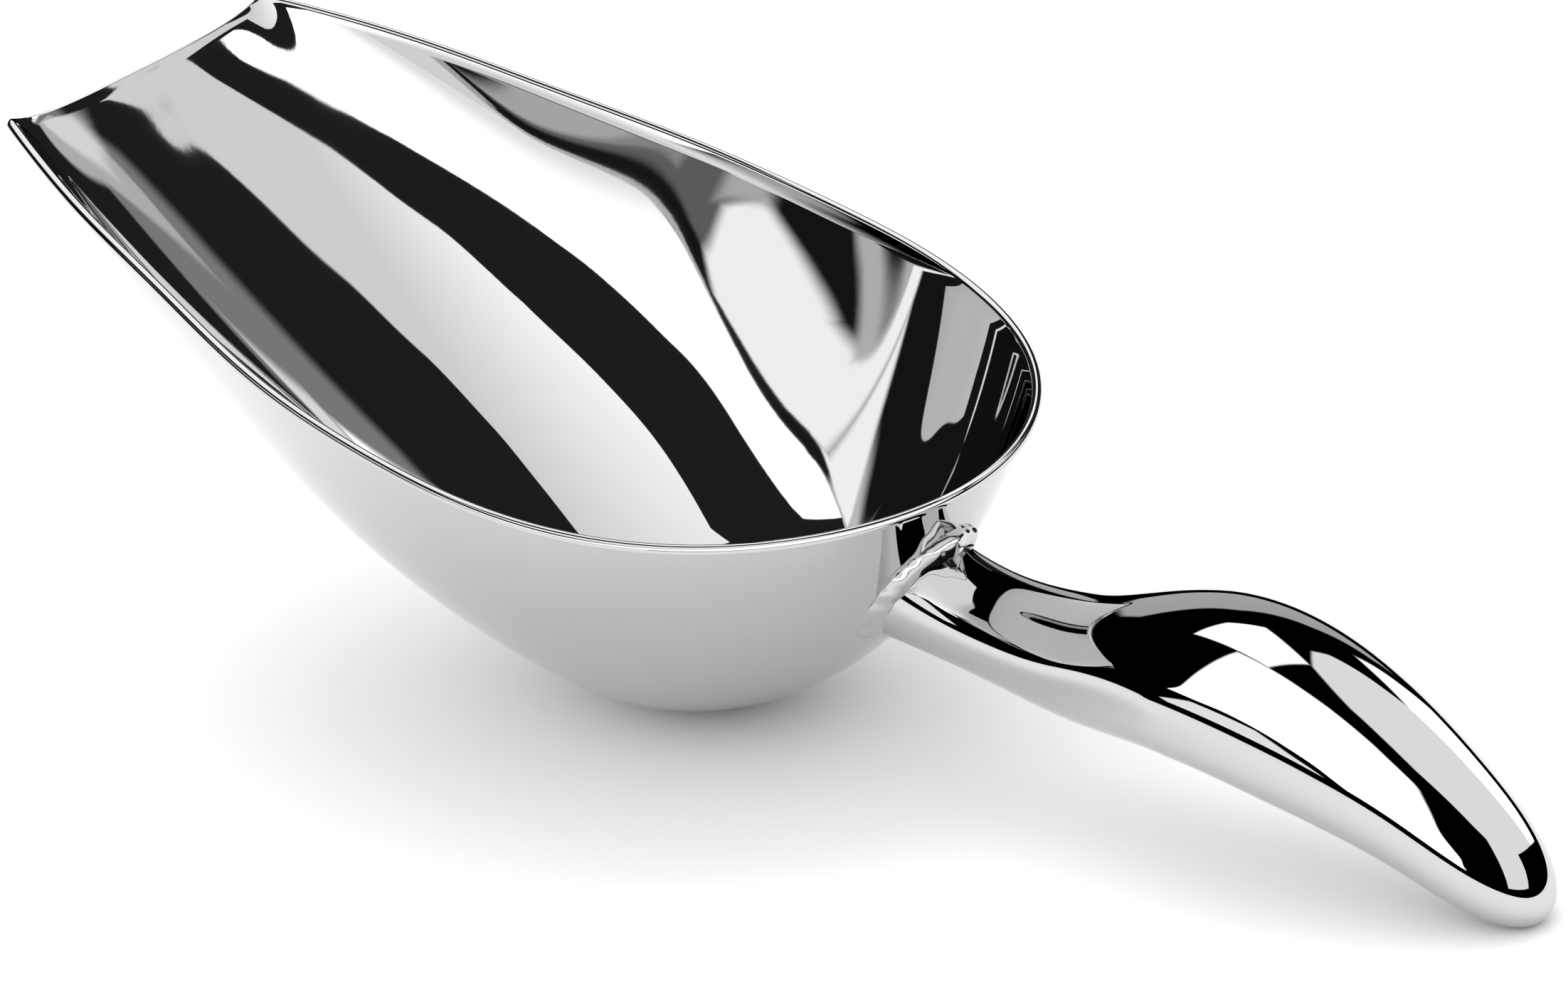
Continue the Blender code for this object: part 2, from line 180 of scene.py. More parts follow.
half_width = fair_curve(WIDTH_STATIONS, HALF_WIDTHS, level_end=True)
rim_height = fair_curve(RIM_STATIONS, RIM_HEIGHTS)
centre_height = fair_curve(HANDLE_STATIONS, CENTRE_HEIGHTS)
half_height = fair_curve(HANDLE_STATIONS, HALF_HEIGHTS)


def keel_height(y):
    """The keel rises from its level back part towards the lip."""
    left = np.clip(1 - y / BACK_START, 0, None)
    eased = left**2 / np.sqrt(left + KEEL_EASE) * math.sqrt(1 + KEEL_EASE)
    dip = LIP_DIP * y / LIP_DIP_REACH * np.exp(1 - y / LIP_DIP_REACH)
    return LIP_HEIGHT * ((1 - LIP_TURN_UP) * eased + LIP_TURN_UP * left**3) - dip


# ---------------------------------------------------------------- the bowl's sheet
def arc_shares(share, angle):
    """How far out and up a place is on an arc, both as shares of the arc's own reach."""
    theta = share * angle
    return np.sin(theta) / np.sin(angle), (1 - np.cos(theta)) / (1 - np.cos(angle))


def front_point(y, share):
    """The middle of the sheet ahead of BACK_START, at a share of the way from the keel to the rim."""
    fade = np.maximum(0, 1 - y / MOUTH_LENGTH) ** MOUTH_FADE_POWER
    angle = FRONT_WALL_ANGLE + (SIDE_WALL_ANGLE - FRONT_WALL_ANGLE) * (y / BACK_START) ** 2
    out, up = arc_shares(share, angle)
    up = up ** (1 + MOUTH_FLATNESS * fade)
    keel = keel_height(y) + SHEET / 2
    x = (half_width(y) - ROLL_RADIUS) * out
    return np.stack([x, y + 0 * x, keel + (rim_height(y) - keel) * up], -1)


def back_point(turn, share):
    """The middle of the sheet round the back; turn is 0 at the side and a quarter turn at the rear."""
    angle = SIDE_WALL_ANGLE + (BACK_WALL_ANGLE - SIDE_WALL_ANGLE) * np.sin(turn) ** 2
    out, up = arc_shares(share, angle)
    power_x, power_y = BACK_PLAN_POWERS
    across = (half_width(BACK_START) - ROLL_RADIUS) * np.cos(turn) ** (2 / power_x)
    along = (BOWL_LENGTH - ROLL_RADIUS - BACK_START) * np.sin(turn) ** (2 / power_y)
    keel = SHEET / 2
    z = keel + (rim_height(BACK_START + along) - keel) * up
    return np.stack([across * out, BACK_START + along * out, z], -1)


def smoothed_rows(wall, rows_front):
    """Blends the sides into the back: each column is smoothed along its length near BACK_START."""
    mirrored = wall[-2::-1] * (-1, 1, 1)
    whole = np.concatenate([wall, mirrored])
    rim = whole[:, -1]
    length = np.concatenate([[0], np.cumsum(np.linalg.norm(np.diff(rim, axis=0), axis=1))])
    spacing = np.gradient(length)
    rows = len(wall)
    reach = np.abs(length[:rows, None] - length[None, :])
    kernel = np.exp(-0.5 * (reach / SMOOTHED_LENGTH) ** 2) * spacing
    kernel /= kernel.sum(1)[:, None]
    both = np.zeros((len(whole), len(whole)))
    both[:rows] = kernel
    both[rows:] = kernel[rows - 2 :: -1][:, ::-1]
    once = np.tensordot(both, whole, 1)
    twice = np.tensordot(both, once, 1)
    smooth = (2 * once - twice)[:rows]
    from_joint = length[:rows] - length[rows_front - 1]
    near = np.exp(-0.5 * (from_joint / (SMOOTHED_REACH * SMOOTHED_LENGTH)) ** 2)
    return wall + (smooth - wall) * near[:, None, None]


def half_sheet(rows_front, rows_back, columns, roll_columns):
    """The middle of the sheet at X >= 0: rows go from mouth to rear, columns from keel to rolled edge."""
    shares = 1 - (1 - np.linspace(0, 1, columns)) ** RIM_CROWDING
    ahead = ROWS_PAST_LIP * CORNER_RADIUS
    spread = np.linspace(0, 1, rows_front)
    spread = (1 - LIP_CROWDING) * spread + LIP_CROWDING * spread**1.5
    lengths = (BACK_START + ahead) * spread - ahead
    turns = np.linspace(0, math.pi / 2, rows_back + 1)[1:]
    turns[-1] = math.pi / 2 - 1e-9
    front = [front_point(y, shares) for y in lengths]
    wall = np.array(front + [back_point(turn, shares) for turn in turns])
    wall[-1, :, 0] = 0
    wall = smoothed_rows(wall, rows_front)
    wall[-1, :, 0] = 0
    wall[:, 0, 0] = 0
    rim = wall[:, -1]
    along = np.gradient(rim, axis=0)
    along[-1] = (-1, 0, 0)
    along /= np.linalg.norm(along, axis=1)[:, None]
    rise = rim - wall[:, -2]
    rise -= (rise * along).sum(1)[:, None] * along
    rise /= np.linalg.norm(rise, axis=1)[:, None]
    outward = np.cross(along, rise)
    away = np.stack([rim[:, 0], np.maximum(rim[:, 1] - BACK_START, 0), 0 * rim[:, 0]], -1)
    outward *= np.sign((outward * away).sum(1))[:, None]
    outward[-1, 0] = 0
    rise[-1, 0] = 0
    sweep = np.linspace(0, ROLL_SWEEP, roll_columns + 1)[1:]
    turned = outward[:, None] * (1 - np.cos(sweep))[None, :, None]
    turned = turned + rise[:, None] * np.sin(sweep)[None, :, None]
    grid = np.concatenate([wall, rim[:, None] + ROLL_RADIUS * turned], axis=1)
    return cut_corner(grid, rows_front)


def cut_corner(grid, rows_front):
    """Moves the front rows so that the sheet ends in a straight lip with a rounded corner."""
    reach = 2 * ROLL_RADIUS + half_width(CORNER_RADIUS) - CORNER_RADIUS
    for column in range(grid.shape[1]):
        line = grid[:rows_front, column].copy()
        over = np.clip(np.abs(line[:, 0]) - reach, 0, CORNER_RADIUS)
        edge = CORNER_RADIUS - np.sqrt(CORNER_RADIUS**2 - over**2)
        inside = line[:, 1] - edge
        k = int(np.argmax(inside > 0))
        start = k - 1 + inside[k - 1] / (inside[k - 1] - inside[k])
        kept = np.linspace(start, rows_front - 1, rows_front)
        for axis in range(3):
            grid[:rows_front, column, axis] = np.interp(kept, np.arange(rows_front), line[:, axis])
    return grid


def flatten_foot(grid):
    """Lifts what is lower than the ground, so that the bowl stands on a flat place."""
    up = np.array([0.0, -math.sin(LEAN), math.cos(LEAN)])
    ground = -BOWL_FRAME_ORIGIN.z
    below = np.minimum(grid @ up - (ground + SHEET / 2), 0)
    return grid - below[..., None] * up


def wall_back_y(x, z):
    """Y of the outside of the bowl's back at a given X and height."""
    x = np.abs(np.asarray(x, float))
    z = np.asarray(z, float)
    turn = np.full(x.shape, BACK_TURN_GUESS)
    power_x, power_y = BACK_PLAN_POWERS
    across = half_width(BACK_START) - ROLL_RADIUS
    length = BOWL_LENGTH - ROLL_RADIUS - BACK_START
    for _ in range(BACK_TURN_STEPS):
        angle = SIDE_WALL_ANGLE + (BACK_WALL_ANGLE - SIDE_WALL_ANGLE) * np.sin(turn) ** 2
        top = rim_height(BACK_START + length * np.sin(turn) ** (2 / power_y))
        up = np.clip((z - SHEET / 2) / (top - SHEET / 2), 0, 1)
        theta = np.arccos(1 - up * (1 - np.cos(angle)))
        out = np.sin(theta) / np.sin(angle)
        turn = np.arccos(np.clip(x / (across * out), 0, 1) ** (power_x / 2))
    return BACK_START + length * out * np.sin(turn) ** (2 / power_y) + BACK_OFFSET


# ---------------------------------------------------------------- the handle
def handle_ring(share, angles, inset=0.0):
    """The handle's outline round its centreline, at a share of its length."""
    y = HANDLE_START + (HANDLE_END - HANDLE_START) * share
    ahead = min(share + SLOPE_STEP, 1.0)
    behind = max(share - SLOPE_STEP, 0.0)
    run = (HANDLE_END - HANDLE_START) * (ahead - behind)
    tangent = np.array([run, centre_height(ahead) - centre_height(behind)])
    tangent /= np.linalg.norm(tangent)
    rounding = max(0.0, (share - END_ROUND_START) / (1 - END_ROUND_START))
    fullness = math.sqrt(max(0.0, 1 - rounding**END_ROUND_POWER))
    high = float(half_height(share)) * fullness - inset
    ratio = np.interp(share, WIDTH_RATIO_STATIONS, WIDTH_RATIOS)
    wide = float(half_height(share)) * fullness * ratio - inset
    side = wide * np.cos(angles) * (1 + SECTION_FULLNESS * np.sin(angles) ** 2)
    lift = high * np.sin(angles) * (1 + SECTION_FULLNESS * np.cos(angles) ** 2)
    centre = float(centre_height(share))
    return np.stack([side, y - tangent[1] * lift, centre + tangent[0] * lift], -1)


def handle_shares(rows):
    """Where the rings are: even along the handle, and crowding towards the rounded end."""
    straight = np.linspace(0, END_ROUND_START, rows)
    turn = np.linspace(0, math.pi / 2, rows // 2 + 1)[1:]
    return np.concatenate([straight, END_ROUND_START + (1 - END_ROUND_START) * np.sin(turn)])


def handle_rings(angles, inset=0.0):
    """All the rings from the bowl to the end; the first lies on the bowl's back."""
    rings = np.array([handle_ring(share, angles, inset) for share in handle_shares(HANDLE_ROWS)])
    root = rings[0].copy()
    root[:, 1] = wall_back_y(root[:, 0], root[:, 2])
    for ring in rings:
        nearness = np.clip(1 - (ring[:, 1] - HANDLE_START) / ROOT_BLEND, 0, 1) ** 2
        ring[:, 1] += nearness * (root[:, 1] - HANDLE_START)
    rings[0] = root
    return rings


# ---------------------------------------------------------------- meshes
def make_mesh(name, points, faces, merge=1e-7):
    """A smooth-shaded object from points in the bowl's frame, put where the scoop stands."""
    mesh = bpy.data.meshes.new(name)
    mesh.from_pydata([tuple(point) for point in points], [], faces)
    bm = bmesh.new()
    bm.from_mesh(mesh)
    bmesh.ops.remove_doubles(bm, verts=bm.verts, dist=merge)
    bmesh.ops.dissolve_degenerate(bm, edges=bm.edges, dist=merge / 10)
    bmesh.ops.recalc_face_normals(bm, faces=bm.faces)
    bm.to_mesh(mesh)
    bm.free()
    mesh.transform(STANDING)
    mesh.shade_smooth()
    obj = bpy.data.objects.new(name, mesh)
    bpy.context.scene.collection.objects.link(obj)
    return obj


def grid_faces(rows, columns, first=0):
    """The faces between rows of points that are numbered row by row, from first on."""
    faces = []
    for i in range(rows - 1):
        for j in range(columns - 1):
            a, b = first + i * columns + j, first + (i + 1) * columns + j
            faces.append((a, a + 1, b + 1, b))
    return faces


def surface_normals(grid, closed=False):
    """Unit normals of a grid of points, from the directions of its rows and columns."""
    down = np.gradient(grid, axis=0)
    if closed:
        across = np.roll(grid, -1, 1) - np.roll(grid, 1, 1)
    else:
        across = np.gradient(grid, axis=1)
    normals = np.cross(down, across)
    return normals / np.maximum(np.linalg.norm(normals, axis=2), 1e-15)[..., None]


def make_bowl():
    """The sheet with both of its faces and a rounded edge at the lip."""
    half = flatten_foot(half_sheet(FRONT_ROWS, BACK_ROWS, WALL_COLUMNS, ROLL_COLUMNS))
    rows = len(half)
    normals = surface_normals(half)
    normals *= -np.sign(normals[FRONT_ROWS // 2, 0, 2])  # towards the outside: down, at the keel
    keel = normals[:FRONT_ROWS, 0]
    keel[:, 0] = 0
    keel /= np.linalg.norm(keel, axis=1)[:, None]
    normals[FRONT_ROWS:, 0] = (0, 0, -1)  # the rows of the back all start at one point of the keel
    normals[-1, :, 0] = 0
    normals[-1] /= np.linalg.norm(normals[-1], axis=1)[:, None]
    full = np.concatenate([half[:, :0:-1] * (-1, 1, 1), half], axis=1)
    full_normals = np.concatenate([normals[:, :0:-1] * (-1, 1, 1), normals], axis=1)
    outer = full + full_normals * SHEET / 2
    inner = full - full_normals * SHEET / 2
    ahead = full[0] - full[1]
    ahead -= (ahead * full_normals[0]).sum(1)[:, None] * full_normals[0]
    ahead /= np.linalg.norm(ahead, axis=1)[:, None]
    lip = []
    for turn in np.linspace(math.pi / 2, -math.pi / 2, LIP_ROWS + 2)[1:-1]:
        lip.append(full[0] + SHEET / 2 * (math.sin(turn) * full_normals[0] + math.cos(turn) * ahead))
    width = full.shape[1]
    # one sheet of rows: outside from the rear forwards, round the lip, inside back to the rear
    layers = np.concatenate([outer[::-1], np.array(lip), inner])
    points = list(layers.reshape(-1, 3))
    faces = grid_faces(len(layers), width)
    count = len(layers)
    for i in range(rows - 1):  # close the two rolled edges
        for j in (0, width - 1):
            a = (rows - 1 - i) * width + j
            b = (rows - 2 - i) * width + j
            c = (count - rows + i) * width + j
            d = (count - rows + i + 1) * width + j
            faces.append((a, b, d, c))
    for j in (0, width - 1):  # and the lip's end
        ring = [(rows - 1 + k) * width + j for k in range(len(lip) + 2)]
        faces.append(tuple(ring))
    bowl = make_mesh("bowl_sheet", points, faces, merge=2e-6)
    bowl.data.set_sharp_from_angle(angle=SHARP_EDGE)
    return bowl


def handle_piece(name, low, high, steps):
    """Part of the handle's wall, between two angles round its centreline."""
    angles = np.linspace(low, high, steps + 1)
    outer = handle_rings(angles)
    outer[-1] = outer[-1].mean(0)
    inner = handle_rings(angles, HANDLE_WALL)[:-INNER_END_ROWS]
    inner_rows = len(inner)
    points = list(outer.reshape(-1, 3)) + list(inner.reshape(-1, 3))
    columns = steps + 1
    count_outer = len(outer)
    base = count_outer * columns  # the first point of the inside
    faces = grid_faces(count_outer, columns)
    faces += [face[::-1] for face in grid_faces(inner_rows, columns, first=base)]
    for j in range(steps):  # root and inner end
        faces.append((j + 1, j, base + j, base + j + 1))
    inner_end = base + (inner_rows - 1) * columns
    faces.append(tuple(inner_end + j for j in range(columns))[::-1])
    for j in (0, steps):  # the long edges, where the pieces meet
        for i in range(inner_rows - 1):
            a = i * columns + j
            b = a + columns
            faces.append((a, b, base + b, base + a) if j else (b, a, base + a, base + b))
        ring = [i * columns + j for i in range(inner_rows - 1, count_outer)]
        ring.append(inner_end + j)
        faces.append(tuple(ring) if j else tuple(ring[::-1]))
    piece = make_mesh(name, points, faces)
    piece.data.set_sharp_from_angle(angle=SHARP_EDGE)
    return piece


def set_true_normals(obj):
    """Gives the handle's outside the normals of the whole handle, so that its seam can't be seen."""
    angles = np.linspace(0, 2 * math.pi, HANDLE_NORMAL_STEPS, endpoint=False)
    rings = handle_rings(angles)
    normals = surface_normals(rings, closed=True)
    centre = rings.mean(1)[:, None]
    facing = np.sign(((rings - centre) * normals).sum(2))[..., None]
    normals = normals * np.where(facing == 0, 1, facing)
    tangent = centre[-1, 0] - centre[-3, 0]
    normals[-1] = tangent / np.linalg.norm(tangent)
    lean = np.array(Matrix.Rotation(-LEAN, 3, "X"))
    world = rings.reshape(-1, 3) @ lean.T + np.array(BOWL_FRAME_ORIGIN)
    world_normals = normals.reshape(-1, 3) @ lean.T
    tree = KDTree(len(world))
    for index, point in enumerate(world):
        tree.insert(point, index)
    tree.balance()
    mesh = obj.data
    given = [Vector((0, 0, 0))] * len(mesh.loops)
    for polygon in mesh.polygons:
        for loop in polygon.loop_indices:
            co = mesh.vertices[mesh.loops[loop].vertex_index].co
            near = tree.find_n(co, HANDLE_NORMAL_NEIGHBOURS)
            if near[0][2] > HANDLE_NORMAL_REACH:
                continue
            total = np.zeros(3)
            for _, index, distance in near:
                total += world_normals[index] / (distance + 1e-6)
            total /= np.linalg.norm(total)
            if Vector(total).dot(polygon.normal) > HANDLE_NORMAL_FACING:
                given[loop] = Vector(total)
    mesh.normals_split_custom_set(given)


def make_weld():
    """The bead round the handle's root: a fillet that swells and narrows, with a lump on top."""
    random = np.random.default_rng(WELD_SEED)
    steps = WELD_STEPS
    angles = np.linspace(0, 2 * math.pi, steps, endpoint=False)
    ring = handle_rings(angles)[0]
    out = ring - ring.mean(0)
    out[:, 1] = 0
    out /= np.linalg.norm(out, axis=1)[:, None]
    waviness = np.zeros(steps)
    for waves in WELD_WAVES:
        strength = random.uniform(*WELD_WAVE_STRENGTH) / len(WELD_WAVES)
        waviness += strength * np.sin(waves * angles + random.uniform(0, 2 * math.pi))
    from_top = (angles - math.pi / 2 - WELD_LUMP_ANGLE + math.pi) % (2 * math.pi) - math.pi
    lump = np.exp(-((from_top / WELD_LUMP_WIDTH) ** 2))
    side = 0.5 + 0.5 * np.cos(from_top)  # 1 on top, 0 below
    leg_bowl, leg_handle = (
        mean + swell * waviness + extra * lump for mean, swell, extra in (WELD_LEG_BOWL, WELD_LEG_HANDLE)
    )
    even, on_top, in_swellings, in_lump = WELD_BULGE
    rise = even + on_top * side + in_swellings * waviness + in_lump * lump
    loops = []
    for share in np.linspace(0, 1, WELD_PROFILE_STEPS + 1):
        bulge = rise * math.sin(math.pi * share)
        away = leg_bowl * (1 - share + bulge) - WELD_SINK
        point = ring + out * away[:, None]
        back = wall_back_y(point[:, 0], point[:, 2])
        point[:, 1] = back + leg_handle * (share + bulge) - WELD_SINK
        loops.append(point)
    corner = ring - out * WELD_ROOT_DEPTHS[0]
    corner[:, 1] = wall_back_y(corner[:, 0], corner[:, 2]) - WELD_ROOT_DEPTHS[1]
    loops.append(corner)
    grid = np.array(loops).transpose(1, 0, 2)
    points = grid.reshape(-1, 3)
    count = len(loops)
    faces = []
    for i in range(steps):
        k = (i + 1) % steps
        for j in range(count):
            m = (j + 1) % count
            faces.append((i * count + j, i * count + m, k * count + m, k * count + j))
    weld = make_mesh("root_weld_bead", points, faces)
    weld.data.set_sharp_from_angle(angle=SHARP_WELD_EDGE)
    return weld


# ---------------------------------------------------------------- materials
MARKS_PER_METRE = (900.0, 60.0, 900.0)  # the polishing marks run along the scoop
MARKS_DEPTH = 0.02 * MM
DRIFTS_PER_METRE = 22.0
DRIFT_RANGE = (0.3, 0.7)  # of the drift noise, from unworn to worn
DARKER_TINT = 0.975


def add_noise(nodes, scale, detail):
    noise = nodes.new("ShaderNodeTexNoise")
    noise.inputs["Scale"].default_value = scale
    noise.inputs["Detail"].default_value = detail
    return noise


def map_range(nodes, links, value, source, target=(0.0, 1.0), interpolation="LINEAR"):
    """The socket of a value that is mapped from one interval to another."""
    node = nodes.new("ShaderNodeMapRange")
    node.interpolation_type = interpolation
    for name, number in zip(("From Min", "From Max", "To Min", "To Max"), (*source, *target)):
        node.inputs[name].default_value = number
    links.new(value, node.inputs["Value"])
    return node.outputs["Result"]


def steel(name, color, roughness, wear, grain):
    """Polished stainless steel: a fine lay of polishing marks, and roughness that drifts a little."""
    material = bpy.data.materials.new(name)
    material.use_nodes = True
    nodes = material.node_tree.nodes
    links = material.node_tree.links
    shader = nodes["Principled BSDF"]
    shader.inputs["Metallic"].default_value = 1.0
    where = nodes.new("ShaderNodeTexCoord").outputs["Object"]
    stretch = nodes.new("ShaderNodeMapping")
    stretch.inputs["Scale"].default_value = MARKS_PER_METRE
    links.new(where, stretch.inputs["Vector"])
    marks = add_noise(nodes, 1.0, 4.0)
    links.new(stretch.outputs["Vector"], marks.inputs["Vector"])
    drift = add_noise(nodes, DRIFTS_PER_METRE, 3.0)
    links.new(where, drift.inputs["Vector"])
    tint = nodes.new("ShaderNodeMix")
    tint.data_type = "RGBA"
    tint.inputs["A"].default_value = (*[part * DARKER_TINT for part in color], 1)
    tint.inputs["B"].default_value = (*color, 1)
    links.new(drift.outputs["Fac"], tint.inputs["Factor"])
    links.new(tint.outputs["Result"], shader.inputs["Base Color"])
    rough = map_range(nodes, links, drift.outputs["Fac"], DRIFT_RANGE, (roughness, roughness + wear))
    links.new(rough, shader.inputs["Roughness"])
    bump = nodes.new("ShaderNodeBump")
    bump.inputs["Strength"].default_value = grain
    bump.inputs["Distance"].default_value = MARKS_DEPTH
    links.new(marks.outputs["Fac"], bump.inputs["Height"])
    links.new(bump.outputs["Normal"], shader.inputs["Normal"])
    return material


def floor_material():
    material = bpy.data.materials.new("pale_floor")
    material.use_nodes = True
    shader = material.node_tree.nodes["Principled BSDF"]
    shader.inputs["Base Color"].default_value = (0.9, 0.9, 0.9, 1)
    shader.inputs["Roughness"].default_value = 0.9
    shader.inputs["Specular IOR Level"].default_value = 0.1
    return material


# colour, roughness, how much rougher where it is worn, and depth of the marks
POLISHED = steel("bowl_polished_steel", (0.57, 0.57, 0.57), 0.012, 0.01, 0.012)
POLISHED_HANDLE = steel("handle_polished_steel", (0.58, 0.58, 0.58), 0.012, 0.01, 0.015)
WELDED = steel("weld_steel", (0.56, 0.56, 0.56), 0.09, 0.08, 0.25)

bowl = make_bowl()
bowl.data.materials.append(POLISHED)
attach(bowl, "root")
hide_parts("bowl")

seam_angle = SEAM_HALF / HANDLE_SIDE_REACH
shell_angle = seam_angle + SEAM_SLIVER
HANDLE_PIECES = (
    # name, the angles it lies between, steps, node that it replaces, slot
    ("handle_top_skin", shell_angle, math.pi - shell_angle, SHELL_STEPS,
     "handle_upper_shell", "handle_steel"),
    ("handle_bottom_skin", math.pi + shell_angle, 2 * math.pi - shell_angle, SHELL_STEPS,
     "handle_lower_shell", "handle_steel"),
    ("handle_seam_near", -seam_angle, seam_angle, SEAM_STEPS, "handle_seam_weld", "seam_steel"),
    ("handle_seam_far", math.pi - seam_angle, math.pi + seam_angle, SEAM_STEPS,
     "handle_seam_weld", "seam_steel"),
)
handle_pieces = []
for name, low, high, steps, node, slot in HANDLE_PIECES:
    piece = handle_piece(name, low, high, steps)
    piece.data.materials.append(POLISHED_HANDLE)
    set_true_normals(piece)
    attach(piece, "root")
    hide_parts(node)
    handle_pieces.append(piece)

weld = make_weld()
weld.data.materials.append(WELDED)
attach(weld, "root")
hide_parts("root_weld")

# ---------------------------------------------------------------- floor and light
FLOOR_REACH = 6.0  # metres from the middle
CEILING = 1.5  # height of the softboxes' plane in metres; their outlines are given in ceiling heights
CEILING_SIZE = 20.0
EDGE_POINTS = 40  # points of a card's curved edge
RAMP_RANGE = (-0.2, 0.85)  # X over which a panel with two brightnesses goes from one to the other
AMBIENT = 1.34  # strength of the white room round the floor

floor_mesh = bpy.data.meshes.new("floor")
corners = [(x * FLOOR_REACH, y * FLOOR_REACH, 0) for x, y in ((-1, -1), (1, -1), (1, 1), (-1, 1))]
floor_mesh.from_pydata(corners, [], [(0, 1, 2, 3)])
floor = bpy.data.objects.new("floor", floor_mesh)
bpy.context.scene.collection.objects.link(floor)
floor.data.materials.append(floor_material())
floor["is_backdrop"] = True


def only_for(light, name, objects):
    """The light reaches these objects alone, as with one exposure for each in a studio."""
    group = bpy.data.collections.new(name)
    for obj in objects:
        group.objects.link(obj)
    light.light_linking.receiver_collection = group


def add_area(name, location, target, size, radiance, receivers):
    """A rectangular light of even radiance that faces its target."""
    data = bpy.data.lights.new(name, "AREA")
    data.shape = "RECTANGLE"
    data.size, data.size_y = size
    data.energy = radiance * math.pi * size[0] * size[1]
    light = bpy.data.objects.new(name, data)
    bpy.context.scene.collection.objects.link(light)
    light.location = location
    aim = Vector(target) - Vector(location)
    light.rotation_euler = aim.to_track_quat("-Z", "Y").to_euler()
    light.visible_camera = False
    only_for(light, name + "_on", receivers)
    return light


def node_math(nodes, links, operation, first, second):
    """The socket of a math node that is fed by sockets or plain numbers."""
    node = nodes.new("ShaderNodeMath")
    node.operation = operation
    for socket, value in zip(node.inputs, (first, second)):
        if isinstance(value, (int, float)):
            socket.default_value = value
        else:
            links.new(value, socket)
    return node.outputs[0]


def combined(nodes, links, operation, depths):
    """One depth from several: the MINIMUM where outlines overlap, the MAXIMUM where they are joined."""
    total = depths[0]
    for depth in depths[1:]:
        total = node_math(nodes, links, operation, total, depth)
    return total


def depth_inside(nodes, links, where, outline):
    """How far a place on the ceiling is inside a convex outline (negative outside)."""
    sides = list(zip(outline, outline[1:] + outline[:1]))
    turn = sum(ax * by - bx * ay for (ax, ay), (bx, by) in sides)
    depths = []
    for (ax, ay), (bx, by) in sides:
        length = math.copysign(math.hypot(bx - ax, by - ay), turn)
        inward = ((ay - by) / length, (bx - ax) / length)
        dot = nodes.new("ShaderNodeVectorMath")
        dot.operation = "DOT_PRODUCT"
        dot.inputs[1].default_value = (*inward, 0)
        links.new(where, dot.inputs[0])
        at_side = inward[0] * ax + inward[1] * ay
        depths.append(node_math(nodes, links, "SUBTRACT", dot.outputs["Value"], at_side))
    return combined(nodes, links, "MINIMUM", depths)


def curved_edge(nodes, links, along, stations, values):
    """The edge's place across, at a place along it, as a smooth curve through the given points."""
    edge = fair_curve(stations, values)
    first, last = stations[0], stations[-1]
    curve = nodes.new("ShaderNodeFloatCurve")
    curve.mapping.use_clip = False
    line = curve.mapping.curves[0]
    line.points[0].location = (0.0, float(edge(first)))
    line.points[-1].location = (1.0, float(edge(last)))
    for share in np.linspace(0, 1, EDGE_POINTS)[1:-1]:
        line.points.new(share, float(edge(first + (last - first) * share)))
    curve.mapping.update()
    links.new(map_range(nodes, links, along, (first, last)), curve.inputs["Value"])
    return curve.outputs[0]


def depth_behind(nodes, links, where, shape):
    """How far a place is inside curved edges, and inside the convex outlines that may follow them.

    It is below the far edge Y(X), short of the side edge X(Y), and above the near edge Y(X) if given.
    """
    split = nodes.new("ShaderNodeSeparateXYZ")
    links.new(where, split.inputs[0])
    x, y = split.outputs["X"], split.outputs["Y"]
    depths = []
    ways = ((x, y, False), (y, x, False), (x, y, True))
    for (stations, values), (along, across, is_near) in zip(shape, ways):
        edge = curved_edge(nodes, links, along, stations, values)
        more, less = (across, edge) if is_near else (edge, across)
        depths.append(node_math(nodes, links, "SUBTRACT", more, less))
    depths += [depth_inside(nodes, links, where, outline) for outline in shape[3:]]
    return combined(nodes, links, "MINIMUM", depths)


def softboxes(name, ground, panels, receivers):
    """A ceiling of softboxes: panels are laid over a ground of even brightness, each over those before.

    A panel is a list of convex outlines joined into one (or a tuple of curved edges), its brightness
    (or two, from its near to its far side) and the softness of its edge.
    """
    light = add_area(name, (0, 0, CEILING), (0, 0, 0), (CEILING_SIZE, CEILING_SIZE), 1.0, receivers)
    light.rotation_euler = (0, 0, 0)
    light.data.use_nodes = True
    nodes = light.data.node_tree.nodes
    links = light.data.node_tree.links
    position = nodes.new("ShaderNodeNewGeometry")
    scaled = nodes.new("ShaderNodeVectorMath")
    scaled.operation = "SCALE"
    scaled.inputs["Scale"].default_value = 1 / CEILING
    links.new(position.outputs["Position"], scaled.inputs[0])
    where = scaled.outputs["Vector"]
    total = ground
    for shape, brightness, softness in panels:
        if isinstance(shape, tuple):
            depth = depth_behind(nodes, links, where, shape)
        else:
            insides = [depth_inside(nodes, links, where, outline) for outline in shape]
            depth = combined(nodes, links, "MAXIMUM", insides)
        mix = nodes.new("ShaderNodeMix")
        edge = map_range(nodes, links, depth, (-softness, softness), interpolation="SMOOTHSTEP")
        links.new(edge, mix.inputs["Factor"])
        if isinstance(total, float):
            mix.inputs["A"].default_value = total
        else:
            links.new(total, mix.inputs["A"])
        if isinstance(brightness, tuple):
            split = nodes.new("ShaderNodeSeparateXYZ")
            links.new(where, split.inputs[0])
            ramp = map_range(nodes, links, split.outputs["X"], RAMP_RANGE, brightness)
            links.new(ramp, mix.inputs["B"])
        else:
            mix.inputs["B"].default_value = brightness
        total = mix.outputs["Result"]
    links.new(total, nodes["Emission"].inputs["Strength"])


BLACK_CARD = 0.02
GREY_BOX = 1.21
WHITE_BOX = 1.95
CARD_SOFTNESS = 0.002
